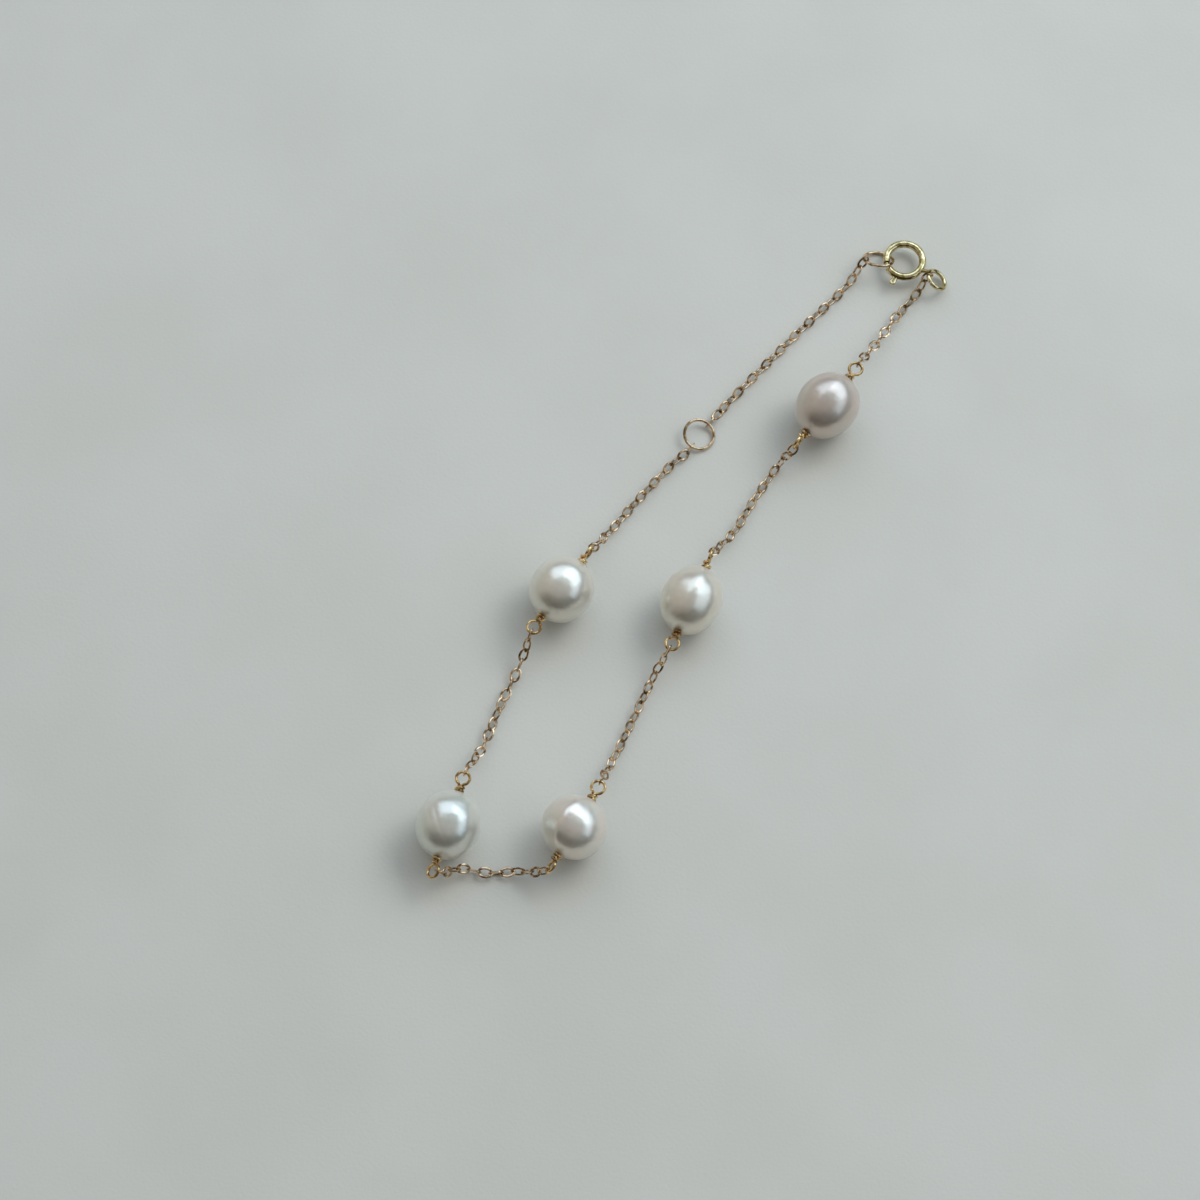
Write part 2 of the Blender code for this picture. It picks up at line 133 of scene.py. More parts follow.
SKY = (0.62, 0.81, 1.0)
add_window("main_window", 52, 38, 0.85, 0.64, 1.85, SKY)
add_window("back_window", -5, 43, 0.90, 0.74, 1.30, SKY)
add_window("right_window", 108, 35, 0.70, 0.42, 0.95, SKY)
add_window("daylight", 56, 45, 0.45, 0.45, 3.2, (1.0, 0.92, 0.78), seen=False)

room = bpy.data.worlds.new("room")
bpy.context.scene.world = room
room.use_nodes = True
tree = room.node_tree
way = add_node(tree, "ShaderNodeTexCoord").outputs["Generated"]
parts = add_node(tree, "ShaderNodeSeparateXYZ", {"Vector": way}).outputs
towards_front = spread(tree, parts["Y"], 0.15, -0.75)
low_down = spread(tree, parts["Z"], 0.95, 0.45)
both = add_node(tree, "ShaderNodeMath", {0: towards_front, 1: low_down}, operation="MULTIPLY").outputs[0]
sides = blend_colours(tree, spread(tree, parts["Z"], 0.15, 0.80), (0.125, 0.118, 0.10), (0.34, 0.335, 0.32))
left_side = spread(tree, parts["X"], -0.15, -0.75)
sides = blend_colours(tree, left_side, sides, (0.43, 0.41, 0.365))
walls = blend_colours(tree, both, sides, (0.040, 0.034, 0.018))
tree.links.new(walls, tree.nodes["Background"].inputs["Color"])
tree.nodes["Background"].inputs["Strength"].default_value = 1.0

CAMERA_AIM = Vector((-0.00989, -0.00566, 0))
CAMERA_DISTANCE = 0.377
CAMERA_RISE = math.radians(70)
CAMERA_LENS = 101.8
camera_data = bpy.data.cameras.new("camera")
camera_data.sensor_width = 36
camera_data.lens = CAMERA_LENS
camera_data.clip_start = 0.01
camera = bpy.data.objects.new("camera", camera_data)
camera_way = Vector((0, -math.cos(CAMERA_RISE), math.sin(CAMERA_RISE)))
camera.location = CAMERA_AIM + CAMERA_DISTANCE * camera_way
camera.rotation_euler = (math.pi / 2 - CAMERA_RISE, 0, 0)
bpy.context.scene.collection.objects.link(camera)
bpy.context.scene.camera = camera
bpy.context.scene.view_settings.view_transform = "Standard"

# Pearls. Five near-round baroque freshwater pearls, cultured in one string's lot, so that each has its own
# shape and blush. Each is drilled through its long axis; its nacre is a stack of films that reflects softly.

PEARL_WIDTH = 7.1 * MM
PEARL_LENGTH = 7.7 * MM
PEARL_HOLE = 0.38 * MM
PEARL_UNEVEN = 0.08 * MM
SHARP_EDGE = math.radians(40)
PEARLS = (
    # x, y, heading, length, width, taper, ridge, ridge_at
    (-14.1, -5.7, 55.6, 0.98, 1.00, 0.02, 0.00, 0),
    (-26.2, -32.6, 73.6, 0.99, 0.99, 0.03, 0.02, 40),
    (-12.6, -32.9, 60.4, 0.91, 1.03, 0.02, 0.07, -75),
    (0.2, -6.9, 67.1, 1.03, 0.98, 0.01, 0.03, -100),
    (15.6, 16.3, 53.2, 1.04, 1.00, -0.03, 0.00, 0),
)
# Tones of the body and of its blush, pearl by pearl
PEARL_TONES = (
    ((0.81, 0.78, 0.69), (0.83, 0.77, 0.68)),
    ((0.76, 0.78, 0.71), (0.81, 0.78, 0.72)),
    ((0.83, 0.80, 0.72), (0.87, 0.77, 0.69)),
    ((0.82, 0.78, 0.68), (0.85, 0.77, 0.67)),
    ((0.67, 0.60, 0.53), (0.70, 0.59, 0.52)),
)
# Hollows in the skin: share along the axis, turn in degrees, half length, half width and depth in mm
PEARL_DIMPLES = (
    ((0.5, 150, 0.9, 0.9, 0.03), (0.1, 10, 1.2, 0.7, 0.03)),
    ((-0.10, -18, 1.7, 0.20, 0.045), (-0.05, -36, 1.4, 0.18, 0.03), (0.45, 20, 0.8, 0.8, 0.05)),
    ((0.60, 35, 2.4, 2.4, 0.12),),
    ((0.3, -80, 1.3, 1.0, 0.05), (0.7, 60, 1.4, 1.2, 0.06)),
    ((0.0, 2, 1.8, 0.5, 0.03), (0.45, 40, 0.8, 0.8, 0.05)),
)
# How far the hollows slant across the pearl, and a lengthwise crest: turn in degrees, height in mm, half width
PEARL_SLANTS = (0, 0.66, 0, 0, 0)
PEARL_CRESTS = ((0, 0.0, 15), (30, 0.05, 25), (-17, 0.30, 15), (4, 0.20, 17), (-3, 0.10, 18))


def frame_matrix(x_axis, y_axis, z_axis, place):
    """The matrix with these three directions as its axes and this place as its origin."""
    axes = Matrix((x_axis, y_axis, z_axis)).transposed()
    return Matrix.Translation(place) @ axes.to_4x4()


def pearl_frame(pearl):
    """The frame of a pearl: +Z along the drilled axis, +X up, at the pearl's centre."""
    x, y, heading, _, width, *_ = pearl
    axis = Vector((math.cos(math.radians(heading)), math.sin(math.radians(heading)), 0))
    return frame_matrix(UP, axis.cross(UP), axis, Vector((x * MM, y * MM, width * PEARL_WIDTH / 2)))


def nacre(name, own_frame, body, blush):
    """The nacre of one pearl, in millimetres of the pearl's own frame."""
    material, tree, shader, place = new_material(name)
    own = add_node(
        tree, "ShaderNodeMapping",
        {
            "Vector": place, "Location": own_frame.translation,
            "Rotation": own_frame.to_euler(), "Scale": (MM, MM, MM),
        },
        vector_type="TEXTURE",
    ).outputs["Vector"]
    clouds = add_node(tree, "ShaderNodeTexNoise", {"Vector": own, "Scale": 0.32, "Detail": 2}).outputs["Fac"]
    veil = add_node(tree, "ShaderNodeTexNoise", {"Vector": own, "Scale": 1.6, "Detail": 5}).outputs["Fac"]
    growth = add_node(
        tree, "ShaderNodeTexWave",
        {"Vector": own, "Scale": 0.42, "Distortion": 6.0, "Detail": 2.0, "Detail Scale": 0.6},
        bands_direction="Z",
    ).outputs["Fac"]
    skin = add_node(tree, "ShaderNodeTexNoise", {"Vector": own, "Scale": 2.2, "Detail": 3}).outputs["Fac"]
    tone = blend_colours(tree, spread(tree, clouds, 0.38, 0.62), body, blush)
    paler = tuple(min(1.0, value * 1.06) for value in body)
    tone = blend_colours(tree, spread(tree, veil, 0.35, 0.75, 0.0, 0.55), tone, paler)
    tree.links.new(tone, shader.inputs["Base Color"])
    tree.links.new(spread(tree, veil, 0.3, 0.7, 0.285, 0.32), shader.inputs["Roughness"])
    lines = add_node(tree, "ShaderNodeBump", {"Height": growth, "Strength": 0.5, "Distance": 0.004 * MM})
    fine = add_node(
        tree, "ShaderNodeBump",
        {"Height": skin, "Strength": 0.5, "Distance": 0.012 * MM, "Normal": lines.outputs["Normal"]},
    )
    tree.links.new(fine.outputs["Normal"], shader.inputs["Normal"])
    for socket, value in {
        "Metallic": 0.64, "IOR": 1.6, "Coat Weight": 0.32, "Coat Roughness": 0.15, "Coat IOR": 1.5,
        "Sheen Weight": 0.15, "Sheen Roughness": 0.4,
    }.items():
        shader.inputs[socket].default_value = value
    return material


def pearl_radius(pearl, share, turn):
    """The distance of the skin from the drilled axis, at a share from -1 to 1 along it and a turn about it."""
    _, _, _, _, width, taper, ridge, ridge_at = pearl
    round_share = math.sqrt(max(0.0, 1 - share * share)) * (1 - taper * share)
    swell = 1 + ridge * max(0.0, math.cos(turn - math.radians(ridge_at))) ** 4 * round_share
    return width * PEARL_WIDTH / 2 * round_share * swell


def pearl_skin(index, share, turn):
    """A point of the skin in the pearl's frame: the turned form, less its unevenness, crest and hollows."""
    pearl = PEARLS[index]
    radius = pearl_radius(pearl, share, turn)
    height = pearl[3] * PEARL_LENGTH / 2 * share
    way = Vector((math.cos(turn), math.sin(turn), 1.2 * share))
    uneven = 0.5 + 0.5 * noise.noise(way * 1.7 + Vector((index * 7.3, index * 3.1, index * 5.7)))
    depth = PEARL_UNEVEN * uneven
    crest_at, crest, crest_width = PEARL_CRESTS[index]
    aside = math.degrees(math.remainder(turn - math.radians(crest_at), math.tau))
    facing = 0.5 + 0.5 * math.cos(math.radians(aside))
    depth += crest * MM * (1 - math.exp(-((aside / crest_width) ** 2))) * facing
    for at_share, at_turn, half_length, half_width, deep in PEARL_DIMPLES[index]:
        along = (share - at_share) * pearl[3] * PEARL_LENGTH / 2
        across = radius * math.remainder(turn - math.radians(at_turn), math.tau) + PEARL_SLANTS[index] * along
        depth += deep * MM * math.exp(-((across / (half_width * MM)) ** 2) - (along / (half_length * MM)) ** 2)
    depth *= 1 - share**4
    return Vector(((radius - depth) * math.cos(turn), (radius - depth) * math.sin(turn), height))


def make_pearl(index):
    """A pearl's skin from one rim of the drilled hole to the other, closed by the wall of the hole."""
    sides, bands = 120, 72
    pearl = PEARLS[index]
    rim = math.asin(math.sqrt(1 - (PEARL_HOLE / pearl[4] / PEARL_WIDTH) ** 2))
    shape = bmesh.new()
    rings = []
    for band in range(bands + 1):
        share = math.sin(rim - 2 * rim * band / bands)
        rings.append([
            shape.verts.new(pearl_skin(index, share, math.tau * side / sides)) for side in range(sides)
        ])
    for above, below in zip(rings, rings[1:] + rings[:1]):
        for side in range(sides):
            after = (side + 1) % sides
            shape.faces.new((above[side], below[side], below[after], above[after]))
    bmesh.ops.recalc_face_normals(shape, faces=shape.faces)
    shape.transform(pearl_frame(pearl))
    lowest = min(vert.co.z for vert in shape.verts)
    shape.transform(Matrix.Translation((0, 0, -lowest)))
    return shape


def add_piece(name, shape, material, body, node):
    """A finished bmesh as a shaded piece that rides on a body and stands for a CAD node."""
    mesh = bpy.data.meshes.new(name)
    shape.to_mesh(mesh)
    shape.free()
    dress_piece(name, mesh, material, body, node)


def dress_piece(name, mesh, material, body, node):
    """A mesh as a shaded piece that rides on a body and stands for a CAD node."""
    mesh.materials.clear()
    mesh.materials.append(material)
    mesh.shade_smooth()
    mesh.set_sharp_from_angle(angle=SHARP_EDGE)
    piece = bpy.data.objects.new(name, mesh)
    bpy.context.scene.collection.objects.link(piece)
    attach(piece, body)
    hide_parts(node)


for index, (pearl, tones) in enumerate(zip(PEARLS, PEARL_TONES)):
    material = nacre(f"nacre_{index + 1}", pearl_frame(pearl), *tones)
    add_piece(
        f"nacre_pearl_{index + 1}", make_pearl(index), material, "bracelet", f"pearl_{index + 1}"
    )

# Pearl wires. One length of warm gold wire goes through each pearl. At each end it is bent round to an eye
# and its tail is wrapped round the stem, tight against the pearl, then cut and tucked in.

EYE_WIRE = 0.33 * MM
EYE_OUTER = 1.8 * MM
SEAT_GAP = 0.1 * MM
EYE_MEAN = (EYE_OUTER - EYE_WIRE) / 2
COLLAR_HEIGHT = 2 * EYE_WIRE
COLLAR_MEAN = 0.4 * MM
EYES = (
    # lower_roll, lower_hook, upper_roll, upper_hook
    (0, 9, 90, -30), (35, 95, 0, -4), (60, -50, 0, 8), (0, -9, 90, -30), (90, -30, 0, 8),
)


def gold(name, colour, shade, roughness, scratch, dent):
    """A polished gold alloy: patches of tarnish and painted shade, small dents and handling marks, a soft
    gloss.
    """
    material, tree, shader, place = new_material(name)
    tarnish_and_painted_shade = add_node(tree, "ShaderNodeTexNoise", {"Vector": place, "Scale": 1400, "Detail": 4}).outputs["Fac"]
    marks = add_node(
        tree, "ShaderNodeTexNoise", {"Vector": place, "Scale": 9000, "Detail": 5, "Distortion": 1.5}
    ).outputs["Fac"]
    dents = add_node(tree, "ShaderNodeTexNoise", {"Vector": place, "Scale": 2600, "Detail": 2}).outputs["Fac"]
    # Patches of tarnish and painted shade: the darker tone stands in for dark reflections and contact shadow as
    # well as for tarnish
    tone = blend_colours(tree, spread(tree, tarnish_and_painted_shade, 0.42, 0.62), colour, shade)
    tree.links.new(tone, shader.inputs["Base Color"])
    tree.links.new(spread(tree, marks, 0.3, 0.7, roughness * 0.8, roughness * 1.3), shader.inputs["Roughness"])
    hollows = add_node(tree, "ShaderNodeBump", {"Height": dents, "Strength": 1.0, "Distance": dent * MM})
    bump = add_node(
        tree, "ShaderNodeBump",
        {"Height": marks, "Strength": scratch, "Distance": 0.004 * MM, "Normal": hollows.outputs["Normal"]},
    )
    tree.links.new(bump.outputs["Normal"], shader.inputs["Normal"])
    shader.inputs["Metallic"].default_value = 1.0
    return material


def eye_frame(pearl, sign, roll):
    """An eye in its pearl's frame: +X straight out, +Y across the eye, +Z normal to the eye's plane."""
    out = Vector((0, 0, sign))
    across = Vector((math.sin(roll), -sign * math.cos(roll), 0))
    reach = pearl[3] * PEARL_LENGTH / 2 + SEAT_GAP + COLLAR_HEIGHT + EYE_WIRE / 4 + EYE_MEAN
    return frame_matrix(out, across, out.cross(across), out * reach)


def eye_path(lean):
    """The wire's middle line at one end, from the pearl out: stem, eye, and two wraps back to the pearl."""
    foot = -(EYE_MEAN + EYE_WIRE / 4)
    points = [Vector((foot - COLLAR_HEIGHT, 0, 0)), Vector((foot - 0.5 * COLLAR_HEIGHT, 0, 0))]
    points.append(Vector((foot - 0.1 * COLLAR_HEIGHT, -0.03 * MM, -0.03 * MM)))
    for step in range(15):
        turn = math.radians(-152 + 310 * step / 14)
        side = 0.06 * MM * (step / 14 - 0.5) * lean
        points.append(Vector((EYE_MEAN * math.cos(turn), EYE_MEAN * math.sin(turn), side)))
    top = foot - 0.04 * MM
    for step in range(15):
        turn = math.radians(60 + 560 * step / 14)
        drop = (COLLAR_HEIGHT - 0.20 * EYE_WIRE) * min(1.0, step / 9)
        skew = 0.02 * MM * math.cos(turn - 0.6) * lean
        points.append(Vector((
            top - drop + skew, COLLAR_MEAN * math.cos(turn), COLLAR_MEAN * math.sin(turn) * lean,
        )))
    return points


def through(points, steps):
    """A smooth line through the points."""
    ways = [points[1] - points[0]]
    ways += [(after - before) / 2 for before, after in zip(points, points[2:])]
    ways.append(points[-1] - points[-2])
    return along_ways(points, ways, steps)


def along_ways(points, ways, steps):
    """A smooth line through the points, in the given directions there."""
    line = [points[0]]
    for index in range(len(points) - 1):
        start, end = points[index], points[index + 1]
        for step in range(1, steps + 1):
            t = step / steps
            line.append(
                start * (2 * t**3 - 3 * t**2 + 1) + ways[index] * (t**3 - 2 * t**2 + t)
                + end * (3 * t**2 - 2 * t**3) + ways[index + 1] * (t**3 - t**2)
            )
    return line


def group_input(group, name, kind, value=None):
    """A named input of a node group."""
    socket = group.interface.new_socket(name, in_out="INPUT", socket_type=kind)
    if value is not None:
        socket.default_value = value
    return socket.identifier


def drawn_wire():
    """The node tree that draws a round wire along a curve, capped at its cut ends."""
    group = bpy.data.node_groups.new("drawn_wire", "GeometryNodeTree")
    identifiers = {
        "Line": group_input(group, "Line", "NodeSocketGeometry"),
        "Thickness": group_input(group, "Thickness", "NodeSocketFloat", 0.3 * MM),
        "Sides": group_input(group, "Sides", "NodeSocketInt", 16),
        "Finish": group_input(group, "Finish", "NodeSocketMaterial"),
    }
    group.interface.new_socket("Wire", in_out="OUTPUT", socket_type="NodeSocketGeometry")
    given = add_node(group, "NodeGroupInput").outputs
    radius = add_node(group, "ShaderNodeMath", {0: given["Thickness"], 1: 0.5}, operation="MULTIPLY").outputs[0]
    section = add_node(
        group, "GeometryNodeCurvePrimitiveCircle", {"Resolution": given["Sides"], "Radius": radius}
    )
    wire = add_node(
        group, "GeometryNodeCurveToMesh",
        {"Curve": given["Line"], "Profile Curve": section.outputs["Curve"], "Fill Caps": True},
    )
    real = add_node(group, "GeometryNodeRealizeInstances", {"Geometry": wire.outputs["Mesh"]})
    done = add_node(
        group, "GeometryNodeSetMaterial", {"Geometry": real.outputs["Geometry"], "Material": given["Finish"]}
    )
    add_node(group, "NodeGroupOutput", {"Wire": done.outputs["Geometry"]})
    return group, identifiers


def curve_of(points, tilts=()):
    """A curve object of straight spans through the points, with its turn about itself at each point."""
    curve = bpy.data.curves.new("line", "CURVE")
    curve.dimensions = "3D"
    spline = curve.splines.new("POLY")
    spline.points.add(len(points) - 1)
    for index, (knot, point) in enumerate(zip(spline.points, points)):
        knot.co = (*point, 1)
        knot.tilt = tilts[index] if tilts else 0
    obj = bpy.data.objects.new("line", curve)
    bpy.context.scene.collection.objects.link(obj)
    return obj


def grown(obj, tree_and_names, values):
    """The mesh that a node tree makes of an object; the object is removed."""
    group, identifiers = tree_and_names
    modifier = obj.modifiers.new("made", "NODES")
    modifier.node_group = group
    for name, value in values.items():
        modifier[identifiers[name]] = value
    bpy.context.view_layer.update()
    evaluated = obj.evaluated_get(bpy.context.evaluated_depsgraph_get())
    mesh = bpy.data.meshes.new_from_object(evaluated)
    bpy.data.objects.remove(obj)
    shape = bmesh.new()
    shape.from_mesh(mesh)
    bmesh.ops.remove_doubles(shape, verts=shape.verts, dist=0.0005 * MM)
    bmesh.ops.recalc_face_normals(shape, faces=shape.faces)
    shape.to_mesh(mesh)
    shape.free()
    return mesh


WIRE_TREE = drawn_wire()
pearl_gold = gold("warm_wire_gold", (0.88, 0.63, 0.32), (0.30, 0.17, 0.06), 0.09, 0.2, 0.008)
for index, (pearl, eyes) in enumerate(zip(PEARLS, EYES), start=1):
    line = []
    for sign, roll, lean in ((-1, eyes[0], 1), (1, eyes[2], -1)):
        here = pearl_frame(pearl) @ eye_frame(pearl, sign, math.radians(roll))
        end = [here @ point for point in eye_path(lean)]
        line = end[::-1] if sign < 0 else line + end
    mesh = grown(
        curve_of(through(line, 4)), WIRE_TREE, {"Thickness": EYE_WIRE, "Sides": 14, "Finish": pearl_gold}
    )
    name = f"wrapped_wire_{index}"
    dress_piece(name, mesh, pearl_gold, "bracelet", f"pearl_wire_{index}")

# Clasp. A spring ring clasp of pale yellow gold: a hollow tube bent round to a ring, open at one place and
# slotted along its outer side, with an open tag ring soldered to it by a short neck.

CLASP_OUTER = 5.0 * MM
CLASP_TUBE = 0.84 * MM
CLASP_WALL = 0.11 * MM
BOLT_CLEARANCE = 0.1 * MM
GAP_START = math.radians(187)
GAP_END = math.radians(208)
TRIGGER_ANGLE = math.radians(242)
OPENING_ANGLE = math.radians(30)
TRIGGER_WIDTH = 0.8 * MM
TRIGGER_WIRE = 0.26 * MM
TAG_OUTER = 2.9 * MM
TAG_WIRE = 0.5 * MM
TAG_CUT = 0.08 * MM
TAG_NECK = 0.45 * MM
CLASP_AT = (25.1, 35.4)
TAG_FROM_CLASP = (3.6, -2.45)
TAG_NORMAL = (0.58, 0.20, 0.79)
TAG_CUT_AT = 222
CLASP_MEAN = (CLASP_OUTER - CLASP_TUBE) / 2
TAG_MEAN = (TAG_OUTER - TAG_WIRE) / 2
RING_OUTER = 3.75 * MM
RING_WIRE = 0.36 * MM
RING_MEAN = (RING_OUTER - RING_WIRE) / 2
END_RING_TILT = math.radians(38)
CLASP_HEIGHT = RING_MEAN * math.sin(END_RING_TILT) + RING_WIRE / 2 + 0.03 * MM


def ring_frame(place, normal, heading):
    """A ring's frame: +Z along its normal, and +X as near the plan heading as its plane allows."""
    normal = normal.normalized()
    ahead = Vector((math.cos(heading), math.sin(heading), 0))
    x_axis = (ahead - normal * ahead.dot(normal)).normalized()
    return frame_matrix(x_axis, normal.cross(x_axis), normal, place)


CLASP_FRAME = Matrix.Translation((CLASP_AT[0] * MM, CLASP_AT[1] * MM, CLASP_HEIGHT))
TAG_FRAME = ring_frame(
    CLASP_FRAME @ Vector((TAG_FROM_CLASP[0] * MM, TAG_FROM_CLASP[1] * MM, 0)), Vector(TAG_NORMAL), 0
)


def tube_point(turn, around, radius):
    """A point of the clasp's tube: a turn about the clasp's axis, and an angle round the tube from outside."""
    reach = CLASP_MEAN + radius * math.cos(around)
    return Vector((reach * math.cos(turn), reach * math.sin(turn), radius * math.sin(around)))


def clasp_tube():
    """The hollow tube with its rounded mouths, and with the slot that the trigger slides along."""
    outer, wall = CLASP_TUBE / 2, CLASP_WALL
    slot_half = math.asin((TRIGGER_WIRE / 2 + BOLT_CLEARANCE) / outer)
    past = (TRIGGER_WIDTH / 2 + BOLT_CLEARANCE) / CLASP_MEAN
    slot_from, slot_to = TRIGGER_ANGLE - past, TRIGGER_ANGLE + OPENING_ANGLE + past
    mouth_from, mouth_to = GAP_END, GAP_START + math.tau
    lip = 0.04 * MM / CLASP_MEAN
    turns = [mouth_from, mouth_from + lip]
    turns += [mouth_from + lip + (slot_from - mouth_from - lip) * step / 5 for step in range(1, 6)]
    turns += [slot_from + (slot_to - slot_from) * step / 20 for step in range(1, 21)]
    turns += [slot_to + (mouth_to - lip - slot_to) * step / 86 for step in range(1, 87)]
    turns.append(mouth_to)
    arounds = [-slot_half, -slot_half / 2, 0, slot_half / 2]
    slot_sides = len(arounds)
    arounds += [slot_half + (math.tau - 2 * slot_half) * step / 24 for step in range(24)]
    shape = bmesh.new()
    skins = []
    for radius in (outer, outer - wall):
        skin = []
        for index, turn in enumerate(turns):
            last = index in (0, len(turns) - 1)
            trim = (0.035 * MM if radius == outer else -0.02 * MM) if last else 0
            skin.append([shape.verts.new(tube_point(turn, around, radius - trim)) for around in arounds])
        skins.append(skin)
    count = len(arounds)
    in_slot = [slot_from - 1e-6 < turn < slot_to - 1e-6 for turn in turns]
    for skin in skins:
        for row in range(len(turns) - 1):
            for side in range(count):
                if in_slot[row] and side < slot_sides:
                    continue
                after = (side + 1) % count
                shape.faces.new((skin[row][side], skin[row + 1][side], skin[row + 1][after], skin[row][after]))
    for row in (0, len(turns) - 1):
        for side in range(count):
            after = (side + 1) % count
            shape.faces.new((
                skins[0][row][side], skins[0][row][after], skins[1][row][after], skins[1][row][side]
            ))
    first, last = in_slot.index(True), len(in_slot) - in_slot[::-1].index(True)
    for row in range(first, last):
        for side in (0, slot_sides):
            shape.faces.new((
                skins[0][row][side], skins[0][row + 1][side], skins[1][row + 1][side], skins[1][row][side]
            ))
    for row in (first, last):
        for side in range(slot_sides):
            shape.faces.new((
                skins[0][row][side], skins[0][row][side + 1], skins[1][row][side + 1], skins[1][row][side]
            ))
    loose = [vert for vert in shape.verts if not vert.link_faces]
    bmesh.ops.delete(shape, geom=loose, context="VERTS")
    bmesh.ops.recalc_face_normals(shape, faces=shape.faces)
    return shape


def swept(line, radii, sides, closed=False):
    """A bmesh of a round wire along a line, with its own radius at each point, capped or closed on itself."""
    shape = bmesh.new()
    rings = []
    side_way = None
    for index, point in enumerate(line):
        before = line[index - 1] if index or closed else point
        after = line[(index + 1) % len(line)] if index < len(line) - 1 or closed else point
        way = (after - before).normalized()
        if side_way is None:
            side_way = way.orthogonal().normalized()
        side_way = (side_way - way * side_way.dot(way)).normalized()
        cross = way.cross(side_way)
        rings.append([
            shape.verts.new(point + radii[index] * (
                side_way * math.cos(math.tau * side / sides) + cross * math.sin(math.tau * side / sides)
            )) for side in range(sides)
        ])
    for one, other in zip(rings, rings[1:] + rings[:1] if closed else rings[1:]):
        for side in range(sides):
            after = (side + 1) % sides
            shape.faces.new((one[side], one[after], other[after], other[side]))
    if not closed:
        for ring in (rings[0][::-1], rings[-1]):
            shape.faces.new(ring)
    bmesh.ops.recalc_face_normals(shape, faces=shape.faces)
    return shape


def take_in(shape, other):
    """Adds another bmesh to a shape and frees it."""
    mesh = bpy.data.meshes.new("taken")
    other.to_mesh(mesh)
    other.free()
    shape.from_mesh(mesh)
    bpy.data.meshes.remove(mesh)


def clasp_tag():
    """The open tag ring and the solder neck that joins it to the tube, placed on the bracelet."""
    line, radii = [], []
    half_cut = TAG_CUT / 2 / TAG_MEAN
    start = math.radians(TAG_CUT_AT) + half_cut
    steps = 72
    for step in range(steps + 1):
        turn = start + (math.tau - 2 * half_cut) * step / steps
        line.append(TAG_FRAME @ Vector((TAG_MEAN * math.cos(turn), TAG_MEAN * math.sin(turn), 0)))
        from_end = min(step, steps - step)
        radii.append(TAG_WIRE / 2 * (0.86, 0.97)[from_end] if from_end < 2 else TAG_WIRE / 2)
    shape = swept(line, radii, 20)
    centre = CLASP_FRAME.inverted() @ TAG_FRAME.translation
    tube_end = Vector((centre.x, centre.y, 0)).normalized() * (CLASP_MEAN + 0.2 * MM)
    inward = TAG_FRAME.inverted() @ (CLASP_FRAME @ tube_end)
    ring_end = CLASP_FRAME.inverted() @ TAG_FRAME @ (Vector((inward.x, inward.y, 0)).normalized() * TAG_MEAN)
    neck, neck_radii = [], []
    for step in range(9):
        share = step / 8
        neck.append(CLASP_FRAME @ tube_end.lerp(ring_end, share))
        neck_radii.append(TAG_NECK / 2 * (1 + 0.3 * (2 * share - 1) ** 4))
    take_in(shape, swept(neck, neck_radii, 16))
    return shape


clasp_gold = gold("pale_clasp_gold", (0.84, 0.72, 0.42), (0.42, 0.33, 0.14), 0.10, 0.12, 0.002)
shape = clasp_tube()
shape.transform(CLASP_FRAME)
take_in(shape, clasp_tag())
add_piece("spring_ring", shape, clasp_gold, "bracelet", "clasp_body")

# Clasp lever. The bolt is a curved rod that a spring inside the tube pushes across the gap. Its trigger is
# a bit of the same wire, bent double to a little loop that comes out through the slot for the fingernail.

BOLT_REACH = math.radians(7)
BOLT_TAIL = math.radians(24)
TRIGGER_LENGTH = 1.5 * MM
# The wire of the bent loop, fuller than the TRIGGER_WIRE that the slot is sized by
TRIGGER_BEND = 0.31 * MM
BOLT_WIRE = CLASP_TUBE - 2 * CLASP_WALL - 2 * BOLT_CLEARANCE

bolt_line, bolt_radii = [], []
for step in range(41):
    turn = GAP_START - BOLT_REACH + (TRIGGER_ANGLE + BOLT_TAIL - GAP_START + BOLT_REACH) * step / 40
    bolt_line.append(Vector((CLASP_MEAN * math.cos(turn), CLASP_MEAN * math.sin(turn), 0)))
    bolt_radii.append(BOLT_WIRE / 2 * (0.55, 0.85, 1)[min(step, 2)])
shape = swept(bolt_line, bolt_radii, 18)

loop_line = []
mid = CLASP_MEAN + TRIGGER_LENGTH - TRIGGER_WIDTH / 2 - TRIGGER_WIRE / 2
loop_half = (TRIGGER_WIDTH - TRIGGER_BEND) / 2
foot = CLASP_MEAN + 0.05 * MM
for point in (
    (foot, -0.16 * MM), (foot + 0.25 * MM, -0.16 * MM), (mid - 0.14 * MM, -0.20 * MM),
    *[(mid + loop_half * math.sin(math.radians(turn)), -loop_half * math.cos(math.radians(turn)))
      for turn in range(20, 180, 20)],
    (mid - 0.14 * MM, 0.20 * MM), (foot + 0.25 * MM, 0.16 * MM), (foot, 0.16 * MM),
):
    loop_line.append(Vector((*point, 0)))
loop_line = through(loop_line, 4)
loop = swept(loop_line, [TRIGGER_BEND / 2] * len(loop_line), 14)
loop.transform(Matrix.Rotation(TRIGGER_ANGLE, 4, "Z"))
take_in(shape, loop)
shape.transform(CLASP_FRAME)
add_piece("bolt_and_trigger", shape, clasp_gold, "lever", "clasp_lever")

# Rings. Two plain rings of round wire, each soldered shut: the extension ring between the bracelet and its
# extension chain, and the end ring, which the clasp holds.

END_RING_YAW = math.radians(-7)
END_RING_FROM_CLASP = (-3.0, 0.15)
EXTENSION_RING_TILT = math.radians(14)
EXTENSION_RING_AT = (1.3, 14.0)
EXTENSION_RING_HOOKS = (49, 239)
REST_HEIGHT = 0.63 * MM

